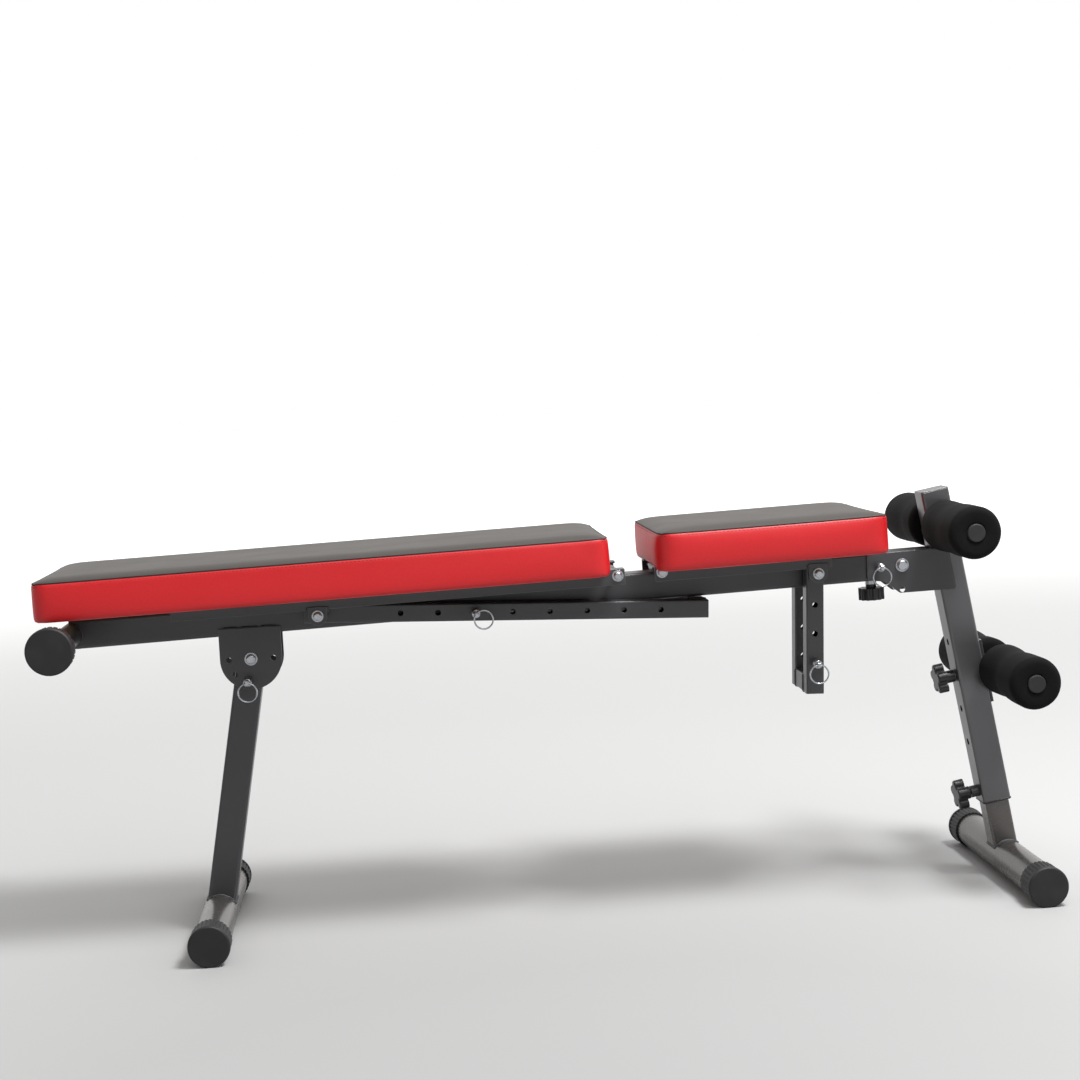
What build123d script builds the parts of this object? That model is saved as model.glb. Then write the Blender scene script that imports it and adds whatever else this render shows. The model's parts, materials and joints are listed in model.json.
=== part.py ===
"""Folding adjustable weight bench.

Units are millimetres, +Z is up, +X runs from the head end to the foot rollers
and +Y runs across the bench.  The origin is on the floor under the middle of
the bench.  Stations along the bench are measured from the rear foot axis and
CENTRE turns them into frame coordinates.
"""
import os
from math import atan2, cos, degrees, hypot, radians, sin, tan

from build123d import *

os.makedirs("parts", exist_ok=True)

# --- driving dimensions -------------------------------------------------------
CENTRE = 479.374          # station of the frame's origin
FOOT_AXIS_Z = 28.0        # height of both foot tube axes
FRONT_FOOT = 1138.0       # station of the front foot axis
FOOT_WIDTH = 380.0        # foot tubes with their caps, across the bench
FOOT_TUBE_R = 25.0
CAP_R = 28.5
CAP_LENGTH = 38.0
CAP_FLAT = 0.5            # depth of the flat that a cap stands on

TUBE = 40.0               # frame tube, square
TUBE_WALL = 2.0
TUBE_CORNER = 4.0
PLATE = 3.5               # folded and welded brackets
RAIL = 22.0               # height of the pad rails
RAIL_T = 3.0
ARM = 25.0                # strut tube, square
ARM_WALL = 1.5

BEAM_RISE = 1.53          # slope of the beam, degrees
BEAM_Z0 = 437.8           # beam centre line above the rear foot axis
BEAM_REAR = -180.0        # station of the rear rest bar
BEAM_FRONT = 1033.5
REST_BAR_R = 16.0
REST_CAP_R = 31.5
REST_CAP_LENGTH = 22.0

LEG_PIVOT = (65.6, 385.7)
LEG_LOCK_R = 31.0         # lock holes from the leg pivot
LEG_PLATE_R = 43.0
LEG_FOLD = 100.0          # degrees

POST_LEAN = 9.65          # front post from the vertical, degrees
POST_PIVOT_X = 993.5
POST_TOP_Z = 567.7        # centre of the post's top end
POST_TUBE = 460.0         # length of the outer post tube
POST_SIDE = 40.6          # outer post tube, as wide as its plates stand apart
POST_WALL = 2.5
POST_INNER = 35.0         # side of the sliding post tube
POST_LOCK_R = 35.0        # lock hole from the post pivot
POST_HOLE_PITCH = 50.0
POST_TRAVEL = 100.0
POST_FOLD = 90.0

HINGE_ABOVE_BEAM = 4.0    # pad hinges above the beam's top face
HINGE_UNDER_PAD = 9.0
BACK_HINGE_X = 580.0
SEAT_HINGE_X = 642.0
BACK_SLOPE = 1.38
SEAT_SLOPE = 1.5
BACK_PAD = (-211.0, 566.0)  # stations of the pads' ends
SEAT_PAD = (630.0, 952.0)
PAD_WIDTH = 272.0
PAD_THICK = 54.0
PAD_CORNER = 16.0
PAD_EDGE = 12.0           # rounding of the top edges
BOARD = 12.0              # plywood thickness
BOARD_MARGIN = 12.0       # cushion beyond the board
BACK_RAIL = (-36.0, 590.0)
SEAT_RAIL = (632.0, 881.5)
RAIL_Y = 67.0             # inner side of the rails' upright flange
RECLINE = 67.0            # backrest travel, degrees

ARM_Y = 26.0              # inner side of the strut arms
BACK_STRUT_PIVOT = (163.7, 446.0)
BACK_STRUT_DROP = 2.6     # strut slope below the level, degrees
BACK_STRUT_LENGTH = 545.0
BACK_HOLE_START = 113.5
BACK_HOLE_PITCH = 52.0
BACK_HOLES = 8
SEAT_STRUT_PIVOT = (861.5, 464.2)
SEAT_STRUT_LEAN = 2.0
SEAT_STRUT_LENGTH = 173.0
SEAT_HOLE_START = 46.5
SEAT_HOLE_PITCH = 41.0
SEAT_HOLES = 3
STRUT_TAIL = 19.0         # strut arm beyond its pivot

ROLLER_R = 36.5
ROLLER_IN = 27.0          # foam rollers from here to ROLLER_OUT
ROLLER_OUT = 176.0
ROLLER_TUBE_R = 12.5
UPPER_ROLLER = (1056.6, 518.0)
LOWER_ROLLER_OFFSET = 42.6
LOWER_BOLT_Z = 300.0
CLAMP_Z = 129.0           # height of the clamp screw on the post

BEAM_KNOB_X = 953.0       # station of the clamp knob under the beam
KNOB_STAND = 13.0         # gap under the post's clamp knob
BOLT_R = 5.0
HINGE_BOLT_R = 4.0
SLEEVE_R = 7.0            # hinge sleeves through the beam
PIN_R = 4.0
PIN_SLACK = 0.4           # extra radius of a lock hole in a tube
FIT = 0.05                # radial clearance of a turning or sliding fit
GAP = 0.3                 # between faces that move past each other
RING_R = 13.0
RING_WIRE = 1.1


# --- placing ------------------------------------------------------------------
def at(x, z, angle=0.0, y=0.0):
    """Place at a station and height, turned so that +X rises by angle."""
    return Location((x - CENTRE, y, z), (0, -angle, 0))


def beam_z(x, above=0.0):
    """Height of the line that runs above the beam's centre line."""
    return BEAM_Z0 + x * tan(radians(BEAM_RISE)) + above / cos(radians(BEAM_RISE))


def along(point, angle, distance):
    """Point at a distance from another, in the direction angle above +X."""
    return (point[0] + distance * cos(radians(angle)), point[1] + distance * sin(radians(angle)))


def both(part):
    """The part and its mirror image across the bench."""
    return Compound(children=[part, part.mirror(Plane.XZ)])


def group(parts):
    """Separate solids that share one node."""
    return Compound(children=list(parts))


def save(part, name):
    """Write one node."""
    part.label = name
    export_step(part, f"parts/{name}.step")


# --- basic shapes ---------------------------------------------------------------
def square_tube(length, side=TUBE, wall=TUBE_WALL, corner=TUBE_CORNER):
    """Square tube along +X from the origin."""
    outer = RectangleRounded(side, side, corner)
    inner = RectangleRounded(side - 2 * wall, side - 2 * wall, corner - wall)
    return extrude(Plane.YZ * (outer - inner), length)


def rod_y(x, z, start, end, radius):
    """Round bar across the bench from y start to y end."""
    place = Location((x - CENTRE, (start + end) / 2, z), (90, 0, 0))
    return place * Cylinder(radius, abs(end - start))


def hex_y(x, z, start, end, across):
    """Hexagonal bar across the bench."""
    place = Location((x - CENTRE, max(start, end), z), (90, 0, 0))
    return place * extrude(RegularPolygon(across / 2, 6, major_radius=False), abs(end - start))


def domed_bolt(x, z, head_y, tip_y, radius, head_r):
    """Bolt whose washer seats at head_y and whose shank runs to tip_y."""
    out = -1 if head_y < tip_y else 1
    shank = rod_y(x, z, head_y, tip_y, radius)
    washer = rod_y(x, z, head_y, head_y + 1.5 * out, head_r + 2.0)
    head = rod_y(x, z, head_y + 1.5 * out, head_y + 7.0 * out, head_r)
    rim = head.edges().filter_by(GeomType.CIRCLE).sort_by(Axis.Y)[0 if out < 0 else -1]
    return shank + washer + fillet(rim, 2.6)


def lock_nut(x, z, seat_y, end_y, bore_r, across):
    """Hexagonal nut with a collar, bored for its bolt."""
    return hex_y(x, z, seat_y, end_y, across) - rod_y(x, z, seat_y - 20, seat_y + 20, bore_r)


def cap_pair(radius, length, width, tube_r, lobes, flat=0.0):
    """Two ribbed end caps of a cross tube whose axis is the local Y axis."""
    outline = Circle(radius - 0.6) - PolarLocations(radius - 0.1, lobes) * Circle(1.5)
    skirt = extrude(Plane.XZ * outline, length - 7)
    disc = Location((0, -(length - 7) - 3.5, 0), (90, 0, 0)) * Cylinder(radius, 7)
    rim = disc.edges().filter_by(GeomType.CIRCLE).sort_by(Axis.Y)[0]
    cap = skirt + fillet(rim, 3.0)
    cap -= Location((0, -(length - 3) / 2, 0), (90, 0, 0)) * Cylinder(tube_r, length - 3)
    if flat:
        cap -= Location((0, -length / 2, -radius - 5 + flat)) * Box(3 * radius, 2 * length, 10)
    near = Location((0, -(width / 2 - length), 0)) * cap
    return both(near)


def foot_tube(width, radius, wall=2.0):
    """Round tube along Y, centred."""
    return Rot(90, 0, 0) * (Cylinder(radius, width) - Cylinder(radius - wall, width))


def lobed_knob(height, lobes, core_r, lobe_ring, lobe_r, hub_r, hub_h, rim=1.6):
    """Clamp knob on +Z: hub from z 0, lobed head on top of it."""
    outline = Circle(core_r) + PolarLocations(lobe_ring, lobes) * Circle(lobe_r)
    head = Pos(0, 0, hub_h) * extrude(outline, height)
    crown = head.faces().sort_by(Axis.Z)[-1]
    head = chamfer(crown.edges(), rim)
    return head + Cylinder(hub_r, hub_h, align=(Align.CENTER, Align.CENTER, Align.MIN))


def pull_pin(x, z, face_y, tip_y, turn):
    """Lock pin pulled out along -Y: shank, barrel head and a drilled tang turned about the pin."""
    shank = rod_y(x, z, face_y - 8, tip_y, PIN_R)
    barrel = rod_y(x, z, face_y - 20, face_y - 8, 6.0)
    rim = barrel.edges().filter_by(GeomType.CIRCLE).sort_by(Axis.Y)[0]
    barrel = fillet(rim, 1.5)
    tang = Box(4.0, 8.0, 9.0)
    tang = fillet(tang.edges().filter_by(Axis.X).group_by(Axis.Y)[0], 3.5)
    tang -= Cylinder(2.1, 20, rotation=(0, 90, 0))
    return shank + barrel + Location((x - CENTRE, face_y - 24, z), (0, turn, 0)) * tang


def pull_ring(x, z, face_y, turn):
    """Ring that hangs from a pull pin's tang, turned about the pin's axis."""
    ring = Rot(90, 0, 0) * Torus(RING_R, RING_WIRE)
    place = Location((x - CENTRE, face_y - 24, z), (0, turn, 0))
    return place * (Pos(0, 0, -RING_R) * ring)


# --- main beam and what is fixed to it -------------------------------------------
post_pivot = (POST_PIVOT_X, beam_z(POST_PIVOT_X))
rest_bar = (BEAM_REAR, beam_z(BEAM_REAR))
back_hinge = (BACK_HINGE_X, beam_z(BACK_HINGE_X, TUBE / 2 + HINGE_ABOVE_BEAM))
seat_hinge = (SEAT_HINGE_X, beam_z(SEAT_HINGE_X, TUBE / 2 + HINGE_ABOVE_BEAM))
leg_angle = degrees(atan2(FOOT_AXIS_Z - LEG_PIVOT[1], -LEG_PIVOT[0]))
leg_lock = along(LEG_PIVOT, leg_angle, LEG_LOCK_R)
post_lock = (post_pivot[0] - POST_LOCK_R, post_pivot[1])
back_lock_reach = BACK_HOLE_START + 2 * BACK_HOLE_PITCH
back_lock = along(BACK_STRUT_PIVOT, -BACK_STRUT_DROP, back_lock_reach)
seat_lock = (SEAT_STRUT_PIVOT[0], beam_z(SEAT_STRUT_PIVOT[0]) - 6)

beam_length = (BEAM_FRONT - BEAM_REAR) / cos(radians(BEAM_RISE))
main_beam = at(*rest_bar, BEAM_RISE) * square_tube(beam_length)
main_beam -= rod_y(*rest_bar, -60, 60, REST_BAR_R)
for hinge in (back_hinge, seat_hinge):
    main_beam -= rod_y(*hinge, -TUBE, TUBE, SLEEVE_R)
main_beam -= rod_y(*post_pivot, -TUBE, TUBE, BOLT_R)
for lock in (post_lock, back_lock, seat_lock):
    main_beam -= rod_y(*lock, -TUBE, TUBE, PIN_R + PIN_SLACK)
knob_place = (BEAM_KNOB_X, beam_z(BEAM_KNOB_X, -TUBE / 2))
main_beam -= at(*knob_place, BEAM_RISE) * Cylinder(4.0, 4 * TUBE_WALL)

rear_bar_tube = at(*rest_bar) * foot_tube(FOOT_WIDTH - 6, REST_BAR_R)
rear_bar_caps = at(*rest_bar) * cap_pair(REST_CAP_R, REST_CAP_LENGTH, FOOT_WIDTH, REST_BAR_R, 26)

sleeves = []
for hinge in (back_hinge, seat_hinge):
    sleeve = rod_y(*hinge, -TUBE / 2, TUBE / 2, SLEEVE_R)
    sleeves.append(sleeve - rod_y(*hinge, -TUBE, TUBE, HINGE_BOLT_R + FIT))


def leg_plate():
    """D-shaped plate on the near side of the beam, with the leg's lock holes."""
    top = beam_z(LEG_PIVOT[0], -TUBE / 2 + 10)
    drop = top - LEG_PIVOT[1]
    outline = Circle(LEG_PLATE_R) + Pos(0, drop / 2) * Rectangle(2 * LEG_PLATE_R, drop)
    outline -= Circle(BOLT_R)
    fold_angle = leg_angle + LEG_FOLD
    for angle in (leg_angle, leg_angle - 38, leg_angle - 79, fold_angle):
        hole = Pos(LEG_LOCK_R * cos(radians(angle)), LEG_LOCK_R * sin(radians(angle)))
        outline -= hole * Circle(PIN_R + FIT)
    place = Plane(origin=(LEG_PIVOT[0] - CENTRE, -TUBE / 2, LEG_PIVOT[1]), x_dir=(1, 0, 0), z_dir=(0, -1, 0))
    return extrude(place * outline, PLATE)


plate_y = TUBE / 2 + PLATE
rear_leg_plates = both(leg_plate())
rear_bolt = domed_bolt(*LEG_PIVOT, -plate_y, plate_y + 12, BOLT_R, 7.0)
front_bolt = domed_bolt(*post_pivot, -plate_y - GAP, plate_y + 13, BOLT_R, 7.5)
pivot_bolts = group([rear_bolt, front_bolt])
rear_nut = lock_nut(*LEG_PIVOT, plate_y, plate_y + 9, BOLT_R, 16)
front_nut = lock_nut(*post_pivot, plate_y + GAP, plate_y + 10, BOLT_R, 16)
knob_nut = at(*knob_place, BEAM_RISE) * (Pos(0, 0, -3) * (Cylinder(8, 6) - Cylinder(4 + FIT, 6)))
frame_nuts = group([rear_nut, front_nut, knob_nut])
knob_body = lobed_knob(17, 12, 16.5, 16.2, 2.6, 7.5, 5, rim=0.6)
knob_stud = Cylinder(3.9, 16, align=(Align.CENTER, Align.CENTER, Align.MAX))
knob_frame = at(*knob_place, BEAM_RISE) * Pos(0, 0, -6.4) * Rot(180, 0, 0)
beam_knob = knob_frame * (knob_body + Pos(0, 0, 1) * knob_stud)

save(main_beam, "main_beam")
save(rear_bar_tube, "rear_bar_tube")
save(rear_bar_caps, "rear_bar_caps")
save(group(sleeves), "hinge_sleeves")
save(rear_leg_plates, "rear_leg_plates")
save(pivot_bolts, "pivot_bolts")
save(frame_nuts, "frame_nuts")
save(beam_knob, "beam_knob")

# --- rear leg -------------------------------------------------------------------
leg_length = hypot(LEG_PIVOT[0], LEG_PIVOT[1] - FOOT_AXIS_Z)
rear_foot = (0.0, FOOT_AXIS_Z)
leg_side = TUBE - 2 * GAP
rear_leg_tube = Pos(-18, 0, 0) * square_tube(leg_length + 18, side=leg_side)
top_round = Cylinder(18.5, TUBE, rotation=(90, 0, 0)) + Pos(200, 0, 0) * Box(400, TUBE, 2 * TUBE)
rear_leg_tube = rear_leg_tube & top_round
rear_leg_tube = at(*LEG_PIVOT, leg_angle) * rear_leg_tube
rear_leg_tube -= rod_y(*LEG_PIVOT, -TUBE, TUBE, BOLT_R + FIT)
rear_leg_tube -= rod_y(*leg_lock, -TUBE, TUBE, PIN_R + PIN_SLACK)
rear_leg_tube -= rod_y(*rear_foot, -60, 60, FOOT_TUBE_R)
rear_foot_tube = at(*rear_foot) * foot_tube(FOOT_WIDTH - 6, FOOT_TUBE_R)
rear_foot_caps = at(*rear_foot) * cap_pair(CAP_R, CAP_LENGTH, FOOT_WIDTH, FOOT_TUBE_R, 30, CAP_FLAT)

save(rear_leg_tube, "rear_leg_tube")
save(rear_foot_tube, "rear_foot_tube")
save(rear_foot_caps, "rear_foot_caps")

# --- front post -------------------------------------------------------------------
post_down = -90.0 + POST_LEAN
post_top = (FRONT_FOOT - (POST_TOP_Z - FOOT_AXIS_Z) * tan(radians(POST_LEAN)), POST_TOP_Z)
post_frame = at(*post_top, post_down)


def post_point(z, offset=0.0):
    """Point at a height on the post's centre line, moved away from the beam by offset."""
    x = post_top[0] + (post_top[1] - z) * tan(radians(POST_LEAN))
    return (x + offset * cos(radians(POST_LEAN)), z + offset * sin(radians(POST_LEAN)))


def post_bar(z, start, end, radius):
    """Round bar square to the post, from one offset to another."""
    middle = post_point(z, (start + end) / 2)
    return at(*middle, POST_LEAN) * Cylinder(radius, abs(end - start), rotation=(0, 90, 0))


def post_plate():
    """Near bracket plate: from the post forward over the end of the beam."""
    px, pz = post_pivot
    back_edge = px - 50.5
    upper_z = pz + 20.0
    lower_z = pz - 40.0
    points = [
        (back_edge, upper_z - 2),
        (back_edge, pz - 19.5),
        (px - 26, pz - 22.5),
        (px - 4, lower_z),
        (post_point(lower_z)[0], lower_z + 1.5),
        (post_point(upper_z)[0], upper_z + 1),
    ]
    outline = make_face(Polyline([(x - px, z - pz) for x, z in points], close=True))
    outline = fillet(outline.vertices().sort_by(Axis.X)[:4], 4.0)
    outline -= Circle(BOLT_R + FIT)
    outline -= Pos(-POST_LOCK_R, 0) * Circle(PIN_R + FIT)
    outline -= Pos(0, -POST_LOCK_R) * Circle(PIN_R + FIT)
    place = Plane(origin=(px - CENTRE, -TUBE / 2 - GAP, pz), x_dir=(1, 0, 0), z_dir=(0, -1, 0))
    return extrude(place * outline, PLATE - GAP)


post_outer_tube = post_frame * square_tube(POST_TUBE, POST_SIDE, POST_WALL)
hole_heights = [LOWER_BOLT_Z + k * POST_HOLE_PITCH * cos(radians(POST_LEAN)) for k in (-2, -1, 0, 1)]
for z in hole_heights:
    post_outer_tube -= post_bar(z, -40, 40, BOLT_R)
post_outer_tube -= post_bar(CLAMP_Z, -40, 0, 4.0 + FIT)
post_outer_tube -= rod_y(*UPPER_ROLLER, -60, 60, ROLLER_TUBE_R)
plug_side = POST_SIDE - 2 * POST_WALL
post_top_plug = post_frame * (
    Pos(-1.5, 0, 0) * extrude(Plane.YZ * RectangleRounded(POST_SIDE, POST_SIDE, TUBE_CORNER), 1.5)
    + extrude(Plane.YZ * RectangleRounded(plug_side, plug_side, 1.4), 12)
)
post_plates = both(post_plate())
upper_roller_tube = at(*UPPER_ROLLER) * foot_tube(2 * ROLLER_OUT - 2, ROLLER_TUBE_R)
lower_roller = post_point(LOWER_BOLT_Z, LOWER_ROLLER_OFFSET)
lower_roller_tube = at(*lower_roller) * foot_tube(2 * ROLLER_OUT - 2, ROLLER_TUBE_R)
bracket_plate = at(*post_point(LOWER_BOLT_Z, POST_SIDE / 2 + PLATE / 2), POST_LEAN) * Box(PLATE, 36, 92)
saddle_depth = LOWER_ROLLER_OFFSET - POST_SIDE / 2 - PLATE
saddle_mid = post_point(LOWER_BOLT_Z, POST_SIDE / 2 + PLATE + saddle_depth / 2)
saddle = at(*saddle_mid, POST_LEAN) * Box(saddle_depth, 30, 30)
lower_roller_bracket = bracket_plate + saddle
lower_roller_bracket -= rod_y(*lower_roller, -60, 60, ROLLER_TUBE_R)
lower_roller_bracket -= post_bar(LOWER_BOLT_Z, -40, 40, BOLT_R)
bolt_outer = LOWER_ROLLER_OFFSET - ROLLER_TUBE_R - 0.5
lower_roller_bolt = post_bar(LOWER_BOLT_Z, -POST_SIDE / 2 - 1, bolt_outer, BOLT_R)
roller_knob = at(*post_point(LOWER_BOLT_Z, -POST_SIDE / 2 - 1 - GAP), POST_LEAN) * (
    Rot(0, -90, 0) * lobed_knob(14, 5, 15.0, 14.5, 7.5, 9.0, 14)
)
clamp_nut = post_bar(CLAMP_Z, -POST_SIDE / 2 - 11, -POST_SIDE / 2, 8.5)
clamp_nut -= post_bar(CLAMP_Z, -POST_SIDE / 2 - 12, 0, 4.0 + FIT)
height_knob_place = at(*post_point(CLAMP_Z, -POST_SIDE / 2 - KNOB_STAND), POST_LEAN)
screw_reach = 1 + KNOB_STAND + POST_WALL
clamp_screw = Cylinder(4.0, screw_reach, align=(Align.CENTER, Align.CENTER, Align.MAX))
height_knob = height_knob_place * (
    Rot(0, -90, 0) * (lobed_knob(14, 5, 15.0, 14.5, 7.5, 9.0, 7) + Pos(0, 0, 1) * clamp_screw)
)


def tube_plug(x, z):
    """Domed plug in the near end of a roller tube."""
    plug = rod_y(x, z, -ROLLER_OUT - 1.5, -ROLLER_OUT + 1, 12.5)
    plug = fillet(plug.edges().filter_by(GeomType.CIRCLE).sort_by(Axis.Y)[0], 1.8)
    return plug + rod_y(x, z, -ROLLER_OUT + 1, -ROLLER_OUT + 18, ROLLER_TUBE_R - 2)


plugs = [tube_plug(*UPPER_ROLLER), tube_plug(*lower_roller)]
roller_tube_plugs = group(plugs + [plug.mirror(Plane.XZ) for plug in plugs])

save(post_outer_tube, "post_outer_tube")
save(post_top_plug, "post_top_plug")
save(post_plates, "post_plates")
save(upper_roller_tube, "upper_roller_tube")
save(lower_roller_tube, "lower_roller_tube")
save(lower_roller_bracket, "lower_roller_bracket")
save(lower_roller_bolt, "lower_roller_bolt")
save(roller_tube_plugs, "roller_tube_plugs")
save(clamp_nut, "post_clamp_nut")
save(roller_knob, "roller_knob")
save(height_knob, "height_knob")

# --- foam rollers -------------------------------------------------------------------
for level, axis in (("upper", UPPER_ROLLER), ("lower", lower_roller)):
    foam = rod_y(*axis, -ROLLER_OUT, -ROLLER_IN, ROLLER_R)
    foam = fillet(foam.edges().filter_by(GeomType.CIRCLE), 8.0)
    foam -= rod_y(*axis, -200, 0, ROLLER_TUBE_R + FIT)
    foam -= rod_y(*axis, -ROLLER_OUT - 5, -ROLLER_OUT + 1.3, 13.0)
    save(foam, f"{level}_roller_near")
    save(foam.mirror(Plane.XZ), f"{level}_roller_far")

# --- sliding front foot ----------------------------------------------------------------
foot_distance = (post_top[1] - FOOT_AXIS_Z) / cos(radians(POST_LEAN))
inner_top = (post_top[1] - LOWER_BOLT_Z) / cos(radians(POST_LEAN)) + BOLT_R + 2
post_inner_tube = post_frame * (
    Pos(inner_top, 0, 0) * square_tube(foot_distance - inner_top, side=POST_INNER, corner=3.5)
)
front_foot = (FRONT_FOOT, FOOT_AXIS_Z)
post_inner_tube -= rod_y(*front_foot, -60, 60, FOOT_TUBE_R)
front_foot_tube = at(*front_foot) * foot_tube(FOOT_WIDTH - 6, FOOT_TUBE_R)
front_foot_caps = at(*front_foot) * cap_pair(CAP_R, CAP_LENGTH, FOOT_WIDTH, FOOT_TUBE_R, 30, CAP_FLAT)

save(post_inner_tube, "post_inner_tube")
save(front_foot_tube, "front_foot_tube")
save(front_foot_caps, "front_foot_caps")


# --- pads and their rails ---------------------------------------------------------------
def pad_frame(hinge, slope):
    """Frame on the pad's underside, straight above its hinge."""
    return at(*along(hinge, slope + 90, HINGE_UNDER_PAD), slope)


def cushion(start, end):
    """Padded cover with a pocket for its board, in the pad frame."""
    length = end - start
    middle = (start + end) / 2
    body = extrude(RectangleRounded(length, PAD_WIDTH, PAD_CORNER), PAD_THICK)
    body = fillet(body.edges().group_by(Axis.Z)[-1], PAD_EDGE)
    body = fillet(body.edges().group_by(Axis.Z)[0], 4.0)
    pocket = Rectangle(length - 2 * BOARD_MARGIN, PAD_WIDTH - 2 * BOARD_MARGIN)
    return Pos(middle, 0, 0) * (body - extrude(pocket, BOARD))


def board(start, end):
    """Plywood board that fills the cushion's pocket."""
    length = end - start - 2 * BOARD_MARGIN
    return Pos((start + end) / 2, 0, BOARD / 2) * Box(length, PAD_WIDTH - 2 * BOARD_MARGIN, BOARD)


def rail(start, end):
    """Near angle rail under a pad, bored for the hinge bolt at the frame's origin."""
    length = end - start
    flange = Pos((start + end) / 2, -RAIL_Y - RAIL_T / 2, -RAIL / 2) * Box(length, RAIL_T, RAIL)
    shelf = Pos((start + end) / 2, -RAIL_Y + 8, -RAIL_T / 2) * Box(length, 22, RAIL_T)
    hole = Pos(0, -RAIL_Y, -HINGE_UNDER_PAD) * Cylinder(HINGE_BOLT_R, 20, rotation=(90, 0, 0))
    return flange + shelf - hole


def pad_screws(stations):
    """Pan head screws that hold the rails to the board."""
    screws = []
    for x in stations:
        for side in (-1, 1):
            head = Pos(x, side * (RAIL_Y - 8), -RAIL_T - 1.5) * Cylinder(5.5, 3.0)
            shank = Pos(x, side * (RAIL_Y - 8), 4.0) * Cylinder(2.5, 14.0)
            screws.append(head + shank)
    return screws


def strut_lug(pivot, drop):
    """Plate on the near rail that carries a strut's pivot bolt."""
    outline = Circle(13) + Pos(0, drop / 2) * Rectangle(26, drop)
    outline -= Circle(HINGE_BOLT_R)
    place = Plane(origin=(pivot[0] - CENTRE, -RAIL_Y - RAIL_T, pivot[1]), x_dir=(1, 0, 0), z_dir=(0, -1, 0))
    return extrude(place * outline, RAIL_T)


def arm_bolt(pivot):
    """Bolt with its spacer collar on the near side, through lug and arm."""
    head_y = -RAIL_Y - 2 * RAIL_T
    bolt = domed_bolt(*pivot, head_y, -ARM_Y + 3.9, HINGE_BOLT_R, 6.0)
    collar = rod_y(*pivot, -RAIL_Y - RAIL_T, -ARM_Y - ARM - GAP, 7.0)
    return bolt + collar


def arm_nut(pivot):
    """Thin nut on the inner end of an arm bolt."""
    return lock_nut(*pivot, -ARM_Y + GAP, -ARM_Y + 3.7, HINGE_BOLT_R, 14)


def hinge_bolt(hinge):
    """Long bolt through both rails and the sleeve on the beam."""
    return domed_bolt(*hinge, -RAIL_Y - RAIL_T, RAIL_Y + RAIL_T + 10, HINGE_BOLT_R, 6.0)


def hinge_nut(hinge):
    """Nut and washer on the far end of a hinge bolt."""
    seat = RAIL_Y + RAIL_T
    nut = hex_y(*hinge, seat + 1.5, seat + 8.5, 14) + rod_y(*hinge, seat, seat + 1.5, 8.0)
    return nut - rod_y(*hinge, seat - 5, seat + 20, HINGE_BOLT_R)


back_frame = pad_frame(back_hinge, BACK_SLOPE)
seat_frame = pad_frame(seat_hinge, SEAT_SLOPE)
PADS = (
    ("backrest", back_frame, back_hinge, BACK_PAD, BACK_RAIL, BACK_STRUT_PIVOT, 12.0),
    ("seat", seat_frame, seat_hinge, SEAT_PAD, SEAT_RAIL, SEAT_STRUT_PIVOT, 14.0),
)
for name, frame, hinge, pad, rails, pivot, drop in PADS:
    start, end = pad[0] - hinge[0], pad[1] - hinge[0]
    rail_start, rail_end = rails[0] - hinge[0], rails[1] - hinge[0]
    near_rail = frame * rail(rail_start, rail_end)
    stations = [rail_start + 40, rail_end - 40]
    if name == "backrest":
        stations.append((rail_start + rail_end) / 2)
    save(frame * cushion(start, end), f"{name}_cushion")
    screws = frame * group(pad_screws(stations))
    save(frame * board(start, end) - screws, f"{name}_board")
    save(near_rail - screws, f"{name}_rail_near")
    save(near_rail.mirror(Plane.XZ) - screws, f"{name}_rail_far")
    save(screws, f"{name}_pad_screws")
    save(both(strut_lug(pivot, drop)), f"{name}_strut_lugs")
    save(hinge_bolt(hinge), f"{name}_hinge_bolt")


# --- struts -----------------------------------------------------------------------------
def strut_arm(pivot, angle, length, holes):
    """Near strut arm from behind its pivot to its free end."""
    arm = Pos(-STRUT_TAIL, -ARM_Y - ARM / 2, 0) * square_tube(length + STRUT_TAIL, ARM, ARM_WALL, 2.5)
    arm -= Pos(0, -ARM_Y - ARM / 2, 0) * Cylinder(HINGE_BOLT_R + FIT, 2 * ARM, rotation=(90, 0, 0))
    for x in holes:
        arm -= Pos(x, -ARM_Y - ARM / 2, 0) * Cylinder(PIN_R + FIT, 2 * ARM, rotation=(90, 0, 0))
    return at(*pivot, angle) * arm


def strut_crossbar(pivot, angle, length):
    """Tube that joins the free ends of a strut's arms."""
    bar = Rot(0, 0, 90) * Pos(-ARM_Y, 0, 0) * square_tube(2 * ARM_Y, ARM, ARM_WALL, 2.5)
    return at(*pivot, angle) * Pos(length - ARM / 2, 0, 0) * bar


back_holes = [BACK_HOLE_START + k * BACK_HOLE_PITCH for k in range(BACK_HOLES)]
seat_holes = [SEAT_HOLE_START + k * SEAT_HOLE_PITCH for k in range(SEAT_HOLES)]
seat_down = -90.0 - SEAT_STRUT_LEAN
STRUTS = (
    ("backrest", BACK_STRUT_PIVOT, -BACK_STRUT_DROP, BACK_STRUT_LENGTH, back_holes),
    ("seat", SEAT_STRUT_PIVOT, seat_down, SEAT_STRUT_LENGTH, seat_holes),
)
for name, pivot, angle, length, holes in STRUTS:
    save(both(strut_arm(pivot, angle, length, holes)), f"{name}_strut_arms")
    save(strut_crossbar(pivot, angle, length), f"{name}_strut_crossbar")
    save(both(arm_bolt(pivot)), f"{name}_strut_bolts")

back_nuts = [arm_nut(BACK_STRUT_PIVOT), arm_nut(BACK_STRUT_PIVOT).mirror(Plane.XZ)]
save(group(back_nuts + [hinge_nut(back_hinge)]), "backrest_nuts")
save(both(arm_nut(SEAT_STRUT_PIVOT)), "seat_strut_nuts")
save(hinge_nut(seat_hinge), "seat_hinge_nut")

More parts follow.
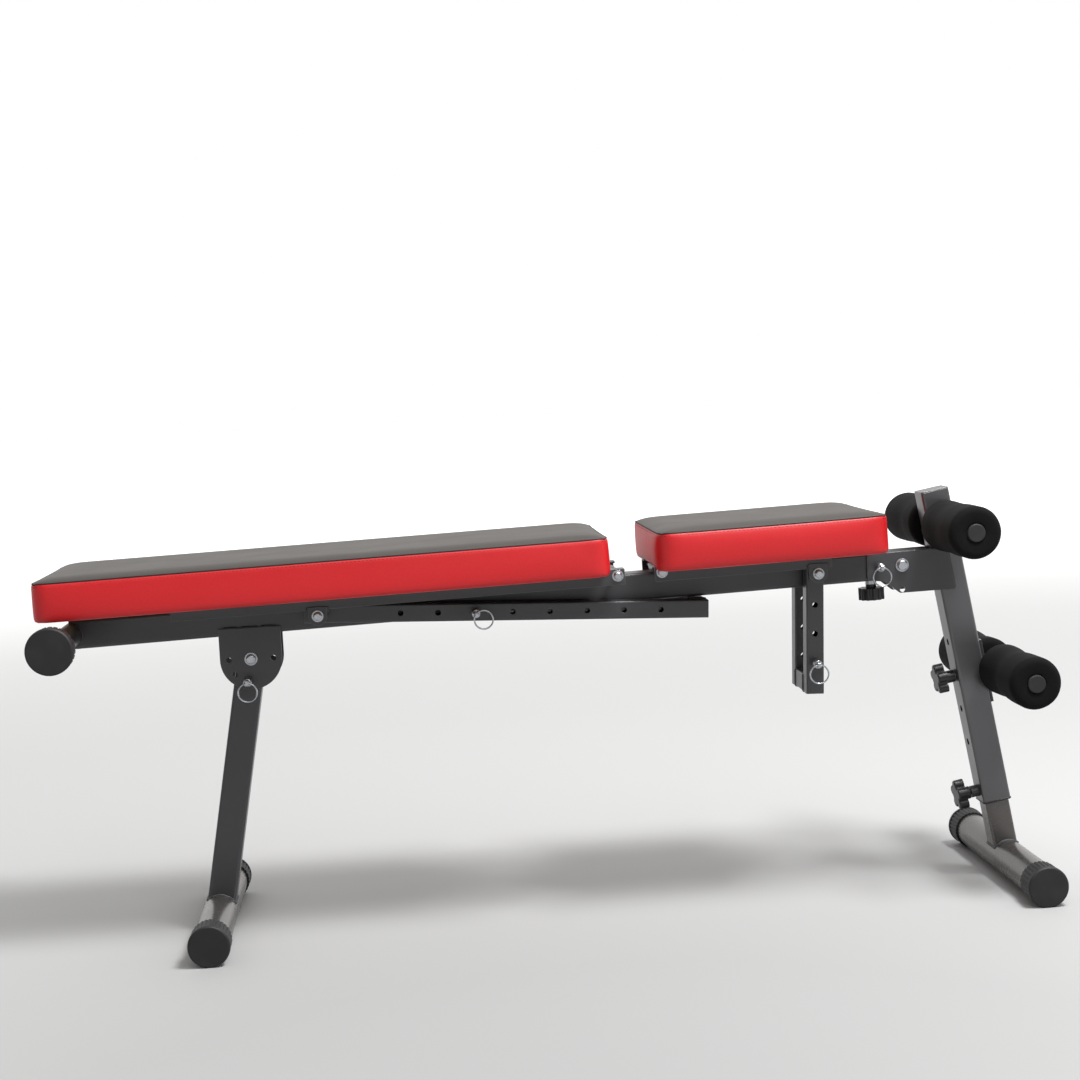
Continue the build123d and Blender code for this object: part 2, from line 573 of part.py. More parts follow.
# --- lock pins and their rings --------------------------------------------------------------
seat_pin = along(SEAT_STRUT_PIVOT, seat_down, seat_holes[-1])
arm_face = -ARM_Y - ARM
PINS = (
    ("rear_leg_pin", leg_lock, -plate_y, -leg_side / 2 - GAP, 0.0),
    ("front_post_pin", post_lock, -plate_y, -TUBE / 2 - GAP, 0.0),
    ("backrest_strut_pin", back_lock, arm_face, -ARM_Y - GAP, -50.0),
    ("seat_strut_pin", seat_pin, arm_face, -ARM_Y - GAP, 0.0),
)
for name, place, face, tip, turn in PINS:
    save(pull_pin(*place, face, tip, turn), name)
    save(pull_ring(*place, face, turn), f"{name}_ring")
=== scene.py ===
"""Looks of the folding weight bench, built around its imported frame.

Everything is in metres in the frame's own axes: +X from the head end to the foot
rollers, +Y across the bench, +Z up, with the origin on the floor.
"""

from __future__ import annotations

import json
import logging
import math
from dataclasses import dataclass
from enum import Enum
from typing import Any, Callable, Iterable, Mapping, Sequence

import bmesh
import bpy
from bmesh.types import BMesh, BMVert
from bpy.types import Material, Node, NodeSocket, NodeTree, Object
from mathutils import Matrix, Vector, noise

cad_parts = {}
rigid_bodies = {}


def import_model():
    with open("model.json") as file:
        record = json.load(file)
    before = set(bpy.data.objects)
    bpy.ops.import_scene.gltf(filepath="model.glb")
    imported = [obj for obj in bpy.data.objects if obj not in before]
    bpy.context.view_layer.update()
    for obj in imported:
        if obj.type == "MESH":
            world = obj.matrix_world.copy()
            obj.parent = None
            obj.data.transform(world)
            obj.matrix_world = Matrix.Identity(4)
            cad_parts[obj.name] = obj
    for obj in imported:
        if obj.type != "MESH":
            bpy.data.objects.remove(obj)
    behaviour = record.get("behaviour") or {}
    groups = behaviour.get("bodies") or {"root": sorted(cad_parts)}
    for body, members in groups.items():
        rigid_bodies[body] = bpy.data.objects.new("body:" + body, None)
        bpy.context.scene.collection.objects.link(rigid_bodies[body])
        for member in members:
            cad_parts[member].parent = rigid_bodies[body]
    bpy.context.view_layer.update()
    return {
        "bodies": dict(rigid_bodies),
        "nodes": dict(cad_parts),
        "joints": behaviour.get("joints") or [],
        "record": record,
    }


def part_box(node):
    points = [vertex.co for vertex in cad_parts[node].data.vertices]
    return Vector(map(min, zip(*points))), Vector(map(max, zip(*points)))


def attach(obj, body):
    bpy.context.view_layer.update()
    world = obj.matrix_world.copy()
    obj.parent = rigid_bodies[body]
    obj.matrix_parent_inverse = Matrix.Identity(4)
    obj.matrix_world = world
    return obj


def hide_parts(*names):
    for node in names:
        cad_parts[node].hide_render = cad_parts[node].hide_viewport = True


LOG = logging.getLogger("bench")
MM = 0.001


# --- small helpers ---


def linear(hex_colour: str) -> tuple[float, float, float, float]:
    """Turns an sRGB hex colour into linear RGBA.

    Args:
        hex_colour: Six hex digits with a leading #.

    Returns:
        Linear red, green, blue and an alpha of 1.
    """
    parts = [int(hex_colour[i : i + 2], 16) / 255 for i in (1, 3, 5)]
    values = [c / 12.92 if c <= 0.04045 else ((c + 0.055) / 1.055) ** 2.4 for c in parts]
    return (values[0], values[1], values[2], 1.0)


def per_metre(size_mm: float) -> float:
    """Texture scale whose pattern repeats about every size_mm millimetres."""
    return 1.0 / (size_mm * MM)


def add_node(
    tree: NodeTree,
    kind: str,
    settings: Mapping[str, Any] | None = None,
    links: Mapping[str, NodeSocket] | None = None,
) -> Node:
    """Adds a shader node with its settings and incoming links.

    Args:
        tree: The material's node tree.
        kind: The node's type name without the ShaderNode prefix.
        settings: Attributes of the node, or default values of its inputs.
        links: Input names, or their numbers as text, and the sockets that feed them.

    Returns:
        The new node.
    """
    node = tree.nodes.new("ShaderNode" + kind)
    for name, value in (settings or {}).items():
        if hasattr(node, name):
            setattr(node, name, value)
        else:
            find_input(node, name).default_value = value
    for name, socket in (links or {}).items():
        tree.links.new(socket, find_input(node, name))
    return node


def find_input(node: Node, name: str) -> NodeSocket:
    """The input socket with that name, or that number when the name is a number."""
    return node.inputs[int(name)] if name.isdigit() else node.inputs[name]


def new_mesh(name: str, mesh_builder: BMesh) -> Object:
    """Turns a bmesh into a linked object whose faces shade smoothly.

    Args:
        name: Name of the piece.
        mesh_builder: The bmesh, which is freed.

    Returns:
        The new object.
    """
    data = bpy.data.meshes.new(name)
    mesh_builder.to_mesh(data)
    mesh_builder.free()
    for polygon in data.polygons:
        polygon.use_smooth = True
    piece = bpy.data.objects.new(name, data)
    bpy.context.scene.collection.objects.link(piece)
    return piece


def skin(builder: BMesh, rings: Sequence[Sequence[BMVert]]) -> None:
    """Joins each ring of vertices to the following one with quads.

    Args:
        builder: The bmesh to add to.
        rings: Rings with the same number of vertices, in order.
    """
    for ring, following in zip(rings, rings[1:]):
        for k in range(len(ring)):
            after = (k + 1) % len(ring)
            builder.faces.new((ring[k], ring[after], following[after], following[k]))


def sweep(
    builder: BMesh,
    points: Sequence[Vector],
    radius: Callable[[int], float],
    sides: int = 8,
    closed: bool = False,
) -> None:
    """Adds a round tube that follows points.

    Args:
        builder: The bmesh to add to.
        points: Centre line.
        radius: Radius at each point's number.
        sides: Corners of the cross-section.
        closed: Whether the line joins its own start.
    """
    count = len(points)
    rings = []
    normal = Vector((0, 0, 1))
    for i, point in enumerate(points):
        ahead = points[(i + 1) % count] if closed else points[min(i + 1, count - 1)]
        behind = points[(i - 1) % count] if closed else points[max(i - 1, 0)]
        tangent = (ahead - behind).normalized()
        if abs(tangent.dot(normal)) > 0.95:
            normal = tangent.orthogonal()
        across = tangent.cross(normal).normalized()
        normal = across.cross(tangent).normalized()
        ring = []
        for k in range(sides):
            turn = 2 * math.pi * k / sides
            offset = across * math.cos(turn) + normal * math.sin(turn)
            ring.append(builder.verts.new(point + offset * radius(i)))
        rings.append(ring)
    skin(builder, rings + rings[:1] if closed else rings)
    if not closed:
        builder.faces.new(list(reversed(rings[0])))
        builder.faces.new(rings[-1])


def rounded_square(side: float, corner: float, steps: int = 5) -> list[tuple[float, float]]:
    """Outline of a square with rounded corners.

    Args:
        side: Side of the square.
        corner: Radius of its corners.
        steps: Divisions of each corner.

    Returns:
        Points about the square's centre, in order round it.
    """
    points = []
    for quarter in range(4):
        middle = math.pi / 4 + quarter * math.pi / 2
        reach = (side / 2 - corner) * math.sqrt(2)
        cx, cy = reach * math.cos(middle), reach * math.sin(middle)
        for n in range(steps + 1):
            angle = quarter * math.pi / 2 + math.pi / 2 * n / steps
            points.append((cx + corner * math.cos(angle), cy + corner * math.sin(angle)))
    return points


def dress(piece: Object, *materials: Material) -> None:
    """Gives a piece its materials in slot order, in place of any it had."""
    slots = piece.data.materials
    for number, material in enumerate(materials):
        if number < len(slots):
            slots[number] = material
        else:
            slots.append(material)


# --- finishes ---


def start_material(name: str) -> tuple[Any, Any, Any, Any]:
    """An empty node material with its surface shader.

    Args:
        name: The real material's name.

    Returns:
        The material, its tree, its Principled shader and the place on the piece.
    """
    material = bpy.data.materials.new(name)
    material.use_nodes = True
    tree = material.node_tree
    tree.nodes.clear()
    shader = add_node(tree, "BsdfPrincipled")
    add_node(tree, "OutputMaterial", links={"Surface": shader.outputs["BSDF"]})
    return material, tree, shader, add_node(tree, "TexCoord").outputs["Object"]


def feed(tree: NodeTree, shader: Node, links: Mapping[str, NodeSocket]) -> None:
    """Links sockets to a shader's inputs, given by their names."""
    for name, socket in links.items():
        tree.links.new(socket, shader.inputs[name])


@dataclass(frozen=True)
class CoatedSteel:
    """Steel tube under a baked powder coat or enamel.

    The coat gives a soft broken highlight from its fine orange peel, and a painted
    highlight gives it a lighter line along the edges.

    Args:
        name: The coat's name.
        colour: Colour of the coat.
        edge: Colour of the painted highlight along the edges.
        roughness: Roughness of the coat.
        metallic: Share of metal flake that shows.
        peel_mm: Spacing of the orange peel, drawn coarser than real to show.
        peel_depth: Strength of the orange peel.
    """

    name: str
    colour: str
    edge: str
    roughness: float
    metallic: float
    peel_mm: float = 1.6
    peel_depth: float = 0.12

    def material(self) -> Material:
        """Builds the coat."""
        material, tree, shader, place = start_material(self.name)
        cloud = add_node(tree, "TexNoise", {"Scale": per_metre(60), "Detail": 4.0}, {"Vector": place})
        spacing = per_metre(self.peel_mm)
        peel = add_node(tree, "TexNoise", {"Scale": spacing, "Detail": 2.0}, {"Vector": place})
        round_edge = add_node(tree, "Bevel", {"samples": 4, "Radius": 0.9 * MM})
        true_face = add_node(tree, "NewGeometry").outputs["Normal"]
        facing = add_node(
            tree,
            "VectorMath",
            {"operation": "DOT_PRODUCT"},
            {"0": round_edge.outputs["Normal"], "1": true_face},
        )
        # Painted highlight: the band along the rounded edges, broken up by the clouds, gets the lighter edge
        # colour.
        edge_band = add_node(
            tree, "MapRange", {"From Min": 0.995, "From Max": 0.86}, {"Value": facing.outputs["Value"]}
        )
        painted_edge_highlight = add_node(
            tree, "Math", {"operation": "MULTIPLY"}, {"0": edge_band.outputs["Result"], "1": cloud.outputs["Fac"]}
        )
        shade = add_node(
            tree,
            "MixRGB",
            {"Color1": linear(self.colour), "Color2": linear(self.edge)},
            {"Fac": painted_edge_highlight.outputs["Value"]},
        )
        gloss = add_node(
            tree,
            "MapRange",
            {"To Min": self.roughness - 0.06, "To Max": self.roughness + 0.08},
            {"Value": cloud.outputs["Fac"]},
        )
        bump = add_node(
            tree,
            "Bump",
            {"Strength": self.peel_depth, "Distance": 0.2 * MM},
            {"Height": peel.outputs["Fac"], "Normal": round_edge.outputs["Normal"]},
        )
        shader.inputs["Metallic"].default_value = self.metallic
        links = {
            "Base Color": shade.outputs["Color"],
            "Roughness": gloss.outputs["Result"],
            "Normal": bump.outputs["Normal"],
        }
        feed(tree, shader, links)
        return material


@dataclass(frozen=True)
class PaddedVinyl:
    """PVC-coated cloth stretched over foam.

    The plasticised skin gives a broad wet highlight that the embossed leather
    grain breaks up, with slow waves where the foam pulls it.

    Args:
        name: The vinyl's name.
        colour: Colour of the skin.
        dark: Colour in the grain's valleys.
        roughness: Roughness of the skin.
        grain_mm: Size of an embossed grain cell, drawn coarser than real to show.
        wave: Strength of the slow waves.
    """

    name: str
    colour: str
    dark: str
    roughness: float
    grain_mm: float = 1.5
    wave: float = 0.25

    def material(self) -> Material:
        """Builds the vinyl."""
        material, tree, shader, place = start_material(self.name)
        warp = add_node(tree, "TexNoise", {"Scale": per_metre(6), "Detail": 2.0}, {"Vector": place})
        bent = add_node(
            tree,
            "VectorMath",
            {"operation": "MULTIPLY_ADD", "1": (0.0012, 0.0012, 0.0012)},
            {"0": warp.outputs["Color"], "2": place},
        )
        cells = add_node(
            tree,
            "TexVoronoi",
            {"feature": "SMOOTH_F1", "Scale": per_metre(self.grain_mm), "Smoothness": 0.6},
            {"Vector": bent.outputs["Vector"]},
        )
        waves = add_node(tree, "TexNoise", {"Scale": per_metre(55), "Detail": 3.0}, {"Vector": place})
        shade = add_node(
            tree,
            "MixRGB",
            {"Color1": linear(self.colour), "Color2": linear(self.dark)},
            {"Fac": cells.outputs["Distance"]},
        )
        gloss = add_node(
            tree,
            "MapRange",
            {"To Min": self.roughness - 0.05, "To Max": self.roughness + 0.07},
            {"Value": waves.outputs["Fac"]},
        )
        slow = add_node(
            tree, "Bump", {"Strength": self.wave, "Distance": 1.2 * MM}, {"Height": waves.outputs["Fac"]}
        )
        grain = add_node(
            tree,
            "Bump",
            {"Strength": 0.16, "Distance": 0.25 * MM, "invert": True},
            {"Height": cells.outputs["Distance"], "Normal": slow.outputs["Normal"]},
        )
        shader.inputs["IOR"].default_value = 1.53
        links = {
            "Base Color": shade.outputs["Color"],
            "Roughness": gloss.outputs["Result"],
            "Normal": grain.outputs["Normal"],
        }
        feed(tree, shader, links)
        return material


@dataclass(frozen=True)
class SoftFoam:
    """Closed-cell nitrile foam with a skin of open pores, which swallows light.

    Args:
        name: The foam's name.
        colour: Colour of the cell walls.
        pore: Darker colour, mixed in by the lumps.
        pore_mm: Pore size, drawn coarser than real to show.
    """

    name: str
    colour: str
    pore: str
    pore_mm: float = 1.4

    def material(self) -> Material:
        """Builds the foam."""
        material, tree, shader, place = start_material(self.name)
        pores = add_node(tree, "TexVoronoi", {"Scale": per_metre(self.pore_mm)}, {"Vector": place})
        lumps = add_node(tree, "TexNoise", {"Scale": per_metre(9), "Detail": 5.0}, {"Vector": place})
        shade = add_node(
            tree,
            "MixRGB",
            {"Color1": linear(self.pore), "Color2": linear(self.colour)},
            {"Fac": lumps.outputs["Fac"]},
        )
        fine = add_node(
            tree, "Bump", {"Strength": 0.5, "Distance": 0.35 * MM}, {"Height": pores.outputs["Distance"]}
        )
        coarse = add_node(
            tree,
            "Bump",
            {"Strength": 0.35, "Distance": 0.9 * MM},
            {"Height": lumps.outputs["Fac"], "Normal": fine.outputs["Normal"]},
        )
        shader.inputs["Roughness"].default_value = 0.88
        shader.inputs["IOR"].default_value = 1.5
        shader.inputs["Specular IOR Level"].default_value = 0.2
        feed(tree, shader, {"Base Color": shade.outputs["Color"], "Normal": coarse.outputs["Normal"]})
        return material


@dataclass(frozen=True)
class MouldedPart:
    """Injection-moulded rubber or plastic with a spark-eroded texture.

    The fine texture spreads the highlight, and the rounded edges catch a thin light.

    Args:
        name: The compound's name.
        colour: Main colour.
        scuffed: Colour where the surface is rubbed.
        roughness: Roughness of the skin.
        ior: Refraction of the compound.
        texture_mm: Spacing of the mould texture, drawn coarser than real to show.
    """

    name: str
    colour: str
    scuffed: str
    roughness: float
    ior: float
    texture_mm: float = 0.9

    def material(self) -> Material:
        """Builds the compound."""
        material, tree, shader, place = start_material(self.name)
        texture = add_node(tree, "TexNoise", {"Scale": per_metre(self.texture_mm)}, {"Vector": place})
        rub = add_node(tree, "TexNoise", {"Scale": per_metre(25), "Detail": 6.0}, {"Vector": place})
        patches = add_node(
            tree, "MapRange", {"From Min": 0.45, "From Max": 0.75}, {"Value": rub.outputs["Fac"]}
        )
        shade = add_node(
            tree,
            "MixRGB",
            {"Color1": linear(self.colour), "Color2": linear(self.scuffed)},
            {"Fac": patches.outputs["Result"]},
        )
        round_edge = add_node(tree, "Bevel", {"samples": 4, "Radius": 0.5 * MM})
        bump = add_node(
            tree,
            "Bump",
            {"Strength": 0.2, "Distance": 0.15 * MM},
            {"Height": texture.outputs["Fac"], "Normal": round_edge.outputs["Normal"]},
        )
        shader.inputs["Roughness"].default_value = self.roughness
        shader.inputs["IOR"].default_value = self.ior
        feed(tree, shader, {"Base Color": shade.outputs["Color"], "Normal": bump.outputs["Normal"]})
        return material


@dataclass(frozen=True)
class BareMetal:
    """Zinc-plated or as-welded steel.

    Plating gives a cool cloudy shine; a weld's ripples scatter it.

    Args:
        name: The metal's name.
        colour: Main colour.
        cloud: Colour of the passivated clouds.
        roughness: Roughness of the surface.
        cloud_mm: Size of the clouds.
    """

    name: str
    colour: str
    cloud: str
    roughness: float
    cloud_mm: float = 4.0

    def material(self) -> Material:
        """Builds the metal."""
        material, tree, shader, place = start_material(self.name)
        clouds = add_node(
            tree, "TexNoise", {"Scale": per_metre(self.cloud_mm), "Detail": 5.0}, {"Vector": place}
        )
        shade = add_node(
            tree,
            "MixRGB",
            {"Color1": linear(self.colour), "Color2": linear(self.cloud)},
            {"Fac": clouds.outputs["Fac"]},
        )
        gloss = add_node(
            tree,
            "MapRange",
            {"To Min": self.roughness - 0.08, "To Max": self.roughness + 0.12},
            {"Value": clouds.outputs["Fac"]},
        )
        round_edge = add_node(tree, "Bevel", {"samples": 4, "Radius": 0.4 * MM})
        bump = add_node(
            tree,
            "Bump",
            {"Strength": 0.08, "Distance": 0.1 * MM},
            {"Height": clouds.outputs["Fac"], "Normal": round_edge.outputs["Normal"]},
        )
        shader.inputs["Metallic"].default_value = 1.0
        links = {
            "Base Color": shade.outputs["Color"],
            "Roughness": gloss.outputs["Result"],
            "Normal": bump.outputs["Normal"],
        }
        feed(tree, shader, links)
        return material


@dataclass(frozen=True)
class PoplarPly:
    """Rotary-cut poplar plywood, sanded and unfinished, with long soft figure.

    Args:
        name: The board's name.
        pale: Colour of the early wood.
        dark: Colour of the late wood.
        grain_mm: Width of a growth line across the board.
    """

    name: str = "poplar_plywood"
    pale: str = "#b99a6e"
    dark: str = "#8d6b43"
    grain_mm: float = 5.0

    def material(self) -> Material:
        """Builds the plywood."""
        material, tree, shader, place = start_material(self.name)
        stretch = add_node(tree, "Mapping", {"Scale": (0.06, 1.0, 1.0)}, {"Vector": place})
        figure = add_node(
            tree,
            "TexNoise",
            {"Scale": per_metre(self.grain_mm), "Detail": 6.0, "Distortion": 0.8},
            {"Vector": stretch.outputs["Vector"]},
        )
        shade = add_node(
            tree,
            "MixRGB",
            {"Color1": linear(self.pale), "Color2": linear(self.dark)},
            {"Fac": figure.outputs["Fac"]},
        )
        rise = {"Strength": 0.15, "Distance": 0.2 * MM}
        bump = add_node(tree, "Bump", rise, {"Height": figure.outputs["Fac"]})
        shader.inputs["Roughness"].default_value = 0.7
        feed(tree, shader, {"Base Color": shade.outputs["Color"], "Normal": bump.outputs["Normal"]})
        return material


class Finish(Enum):
    """The finishes on the bench."""

    # Each coat's second colour is its painted highlight along the edges.
    FRAME_COAT = CoatedSteel("graphite_powder_coat", "#49494b", "#8f9093", 0.36, 0.55)
    # Painted light: the frame's coat again, made lighter for the front post, which shows brighter in the
    # light.
    FRAME_COAT_LIT_POST = CoatedSteel("graphite_coat_painted_light_post", "#626163", "#a8a8aa", 0.3, 0.7)
    # Painted light: the frame's coat again, made lighter for the foot tubes, which catch the light from
    # above.
    FRAME_COAT_LIT_FEET = CoatedSteel("graphite_coat_painted_light_feet", "#5f5c5a", "#a09c96", 0.26, 0.65, 2.4, 0.05)
    RED_VINYL = PaddedVinyl("red_padded_vinyl", "#c20611", "#b1050e", 0.48)
    DARK_VINYL = PaddedVinyl("slate_padded_vinyl", "#38332f", "#29241f", 0.5, 1.8, 0.2)
    FOAM = SoftFoam("black_nitrile_foam", "#070707", "#030303")
    CAP_RUBBER = MouldedPart("black_cap_rubber", "#0f0f10", "#1b1b1c", 0.6, 1.52)
    KNOB_NYLON = MouldedPart("black_glass_filled_nylon", "#0f0f10", "#19191a", 0.38, 1.53, 1.2)
    PLUG_NYLON = MouldedPart("charcoal_plug_nylon", "#171718", "#212122", 0.65, 1.48, 1.2)
    ZINC = BareMetal("bright_zinc_plate", "#c9ccd0", "#9fa3a8", 0.28)
    WELD = CoatedSteel("coated_weld_bead", "#46474a", "#8a8b8e", 0.34, 0.55, 1.2, 0.3)
    THREAD = MouldedPart("black_seam_thread", "#0e0c0b", "#1a1716", 0.8, 1.5, 0.7)
    PLY = PoplarPly()


class Paintbox:
    """Builds each finish once and hands it out."""

    def __init__(self) -> None:
        """Starts with no material built."""
        self.built: dict[Finish, Material] = {}

    def get(self, finish: Finish) -> Material:
        """The finish's material, built on first use."""
        if finish not in self.built:
            self.built[finish] = finish.value.material()
        return self.built[finish]


PAINTS = Paintbox()


# --- the pads ---


@dataclass
class Pad:
    """One upholstered pad: a board wrapped in foam and two colours of vinyl.

    The band round the sides is red and the top panel is dark. They are sewn
    together along the top edge.

    Args:
        name: Body that the pad rides on, and the start of its nodes' names.
        slope: Rise of the pad towards +X at rest, in degrees.
        corner: Plan radius of the corners.
        cell: Spacing of the cover's mesh.
        swell: How far the foam may push the cover up.
        bulge: How far the foam may push the sides out.
        lip: Width of cover folded under the board.
        fold: Thickness of the folded cover under the board.
        roll: How far the padded lower edge hangs below the fold.
        rail_room: Half width kept clear of that roll for the rails.
        seam_drop: Depth of the sewn edge below the top's own corner.
        thread_r: Radius of the piping in the sewn edge.
        stitch: Length of a stitch.
        stitch_gap: Distance from one stitch to the next.
        staple_gap: Distance from one staple to the next.
        pressure: Push of the foam on the cover.
        stiffness: Stiffness of the cover against stretching.
        frames: Length of the swelling.
    """

    name: str
    slope: float
    corner: float = 20 * MM
    cell: float = 8 * MM
    swell: float = 4.5 * MM
    bulge: float = 3.0 * MM
    lip: float = 26 * MM
    fold: float = 0.9 * MM
    roll: float = 3.2 * MM
    rail_room: float = 78 * MM
    seam_drop: float = 2.0 * MM
    thread_r: float = 0.9 * MM
    stitch: float = 3.6 * MM
    stitch_gap: float = 5.4 * MM
    staple_gap: float = 42 * MM
    pressure: float = 12.0
    stiffness: float = 15.0
    frames: int = 20

    def __post_init__(self) -> None:
        """Finds the pad's own frame and size from its cushion's solid."""
        node = bpy.data.objects[self.name + "_cushion"]
        self.turn = Matrix.Rotation(-math.radians(self.slope), 4, "Y")
        back = self.turn.inverted()
        points = [back @ v.co for v in node.data.vertices]
        self.low = Vector([min(p[i] for p in points) for i in range(3)])
        self.high = Vector([max(p[i] for p in points) for i in range(3)])
        self.size = self.high - self.low

    def to_frame(self, point: Vector) -> Vector:
        """Turns a point of the pad's own frame into the bench's frame."""
        return self.turn @ point

    def plan(self, x: float, y: float) -> tuple[float, float]:
        """Rounds the corners of the pad's outline.

        Args:
            x: Place along the pad.
            y: Place across the pad.

        Returns:
            The same place with the square corners turned into quarter discs.
        """
        cx = min(max(x, self.low.x + self.corner), self.high.x - self.corner)
        cy = min(max(y, self.low.y + self.corner), self.high.y - self.corner)
        dx, dy = x - cx, y - cy
        length = math.hypot(dx, dy)
        if length < 1e-9:
            return x, y
        share = max(abs(dx), abs(dy)) / length
        return cx + dx * share, cy + dy * share

    def grid(self) -> tuple[BMesh, list[BMVert], list[list[BMVert]]]:
        """Builds the cover as a closed grid of quads.

        Returns:
            The bmesh, the vertices held still, and the rings of vertices round the
            side in order, from the bottom to the seam.
        """
        columns = max(6, round(self.size.x / self.cell))
        rows = max(6, round(self.size.y / self.cell))
        levels = max(4, round(self.size.z / self.cell))
        builder = bmesh.new()
        verts: dict[tuple[int, int, int], BMVert] = {}

        def corner_at(i: int, j: int, k: int) -> BMVert:
            """The grid's vertex at a column, row and level."""
            key = (i, j, k)
            if key not in verts:
                x, y = self.plan(
                    self.low.x + self.size.x * i / columns, self.low.y + self.size.y * j / rows
                )
                z = self.low.z + self.size.z * k / levels
                verts[key] = builder.verts.new((x, y, z))
            return verts[key]

        for i in range(columns):
            for j in range(rows):
                top = [corner_at(i + a, j + b, levels) for a, b in ((0, 0), (1, 0), (1, 1), (0, 1))]
                builder.faces.new(top).material_index = 1
                under = [corner_at(i + a, j + b, 0) for a, b in ((0, 0), (0, 1), (1, 1), (1, 0))]
                builder.faces.new(under)
        ring = [(i, 0) for i in range(columns)] + [(columns, j) for j in range(rows)]
        ring += [(i, rows) for i in range(columns, 0, -1)] + [(0, j) for j in range(rows, 0, -1)]
        for level in range(levels):
            for n, (i, j) in enumerate(ring):
                i2, j2 = ring[(n + 1) % len(ring)]
                side = [
                    corner_at(i, j, level),
                    corner_at(i2, j2, level),
                    corner_at(i2, j2, level + 1),
                    corner_at(i, j, level + 1),
                ]
                builder.faces.new(side)
        rings = [[verts[(i, j, level)] for i, j in ring] for level in range(levels + 1)]
        held = [v for (i, j, k), v in verts.items() if k == 0]
        return builder, held, rings

    def shape_underside(self, held: Iterable[BMVert]) -> None:
        """Folds the cover under the board and hides its middle inside the board."""
        for vert in held:
            inside = min(
                vert.co.x - self.low.x,
                self.high.x - vert.co.x,
                vert.co.y - self.low.y,
                self.high.y - vert.co.y,
            )
            roll = self.roll * max(0.0, 1 - inside / (2 * self.cell))
            if abs(vert.co.y) < self.rail_room:
                roll = 0.0
            vert.co.z = self.low.z + 3 * MM if inside >= self.lip else self.low.z - self.fold - roll

    def inflate(self, cover: Object, still: set[int], seam: set[int]) -> None:
        """Lets the foam swell the cover against its sewn and stapled edges.

        Args:
            cover: The cover's object, at rest.
            still: Numbers of the vertices on the board, which never move.
            seam: Numbers of the vertices on the sewn edge, which move little.
        """
        before = [v.co.copy() for v in cover.data.vertices]
        group = cover.vertex_groups.new(name="held")
        group.add(sorted(still), 1.0, "REPLACE")
        group.add(sorted(seam), 0.5, "REPLACE")
        cloth = cover.modifiers.new("swell", "CLOTH")
        cloth.settings.vertex_group_mass = "held"
        cloth.settings.use_pressure = True
        cloth.settings.uniform_pressure_force = self.pressure
        cloth.settings.effector_weights.gravity = 0.0
        cloth.settings.tension_stiffness = self.stiffness
        cloth.settings.compression_stiffness = self.stiffness
        cloth.settings.bending_stiffness = 1.0
        cloth.point_cache.frame_start = 1
        cloth.point_cache.frame_end = self.frames
        scene = bpy.context.scene
        for frame in range(1, self.frames + 1):
            scene.frame_set(frame)
        graph = bpy.context.evaluated_depsgraph_get()
        swollen = [v.co.copy() for v in cover.evaluated_get(graph).data.vertices]
        cover.modifiers.remove(cloth)
        scene.frame_set(1)
        rise = max((now - was).length for was, now in zip(before, swollen))
        LOG.info("%s swells by up to %.1f mm", cover.name, rise / MM)
        for vert, was, now in zip(cover.data.vertices, before, swollen):
            step = now - was
            up = self.swell * math.tanh(step.z / self.swell)
            flat = Vector((step.x, step.y, 0))
            if flat.length > 1e-9:
                flat = flat.normalized() * self.bulge * math.tanh(flat.length / self.bulge)
            vert.co = was + flat + Vector((0, 0, up))

    def build_cover(self) -> tuple[Object, list[Vector], list[Vector]]:
        """Builds the two-coloured cover.

        Returns:
            The cover, the line of its seam and the line below it where the stitches
            run, in the bench's frame.
        """
        inset = 0.6 * MM
        self.low += Vector((inset, inset, 0))
        self.high -= Vector((inset, inset, self.swell * 0.5))
        self.size = self.high - self.low
        builder, held, rings = self.grid()
        self.shape_underside(held)
        for vert in rings[-1]:
            vert.co.z -= self.seam_drop
        builder.verts.index_update()
        still = {v.index for v in held}
        sewn = [v.index for v in rings[-1]]
        below = [v.index for v in rings[-2]]
        cover = new_mesh(self.name + "_cover", builder)
        self.inflate(cover, still, set(sewn))
        smooth = cover.modifiers.new("smooth", "SUBSURF")
        smooth.levels = 1
        smooth.render_levels = 1
        skin = cover.evaluated_get(bpy.context.evaluated_depsgraph_get()).data
        seam = [skin.vertices[i].co.copy() for i in sewn]
        lower = [skin.vertices[i].co.copy() for i in below]
        centre = (self.low + self.high) / 2
        stitches = []
        for top, under in zip(seam, lower):
            out = Vector((top.x - centre.x, top.y - centre.y, 0))
            wall = (under - top).normalized()
            side = wall.cross(out.cross(wall)).normalized() * -1
            if side.dot(out) < 0:
                side.negate()
            stitches.append(self.to_frame(top + wall * 3.4 * MM + side * 0.25 * MM))
        cover.data.transform(self.turn)
        dress(cover, PAINTS.get(Finish.RED_VINYL), PAINTS.get(Finish.DARK_VINYL))
        return cover, [self.to_frame(p) for p in seam], stitches

    def build_seam(self, line: Sequence[Vector]) -> Object:
        """Lays the sewn welt into the edge between the two vinyls."""
        builder = bmesh.new()
        up = self.turn.to_3x3() @ Vector((0, 0, 1))
        sweep(builder, [p + up * 0.2 * MM for p in line], lambda i: self.thread_r, 8, closed=True)
        welt = new_mesh(self.name + "_seam_welt", builder)
        dress(welt, PAINTS.get(Finish.THREAD))
        return welt

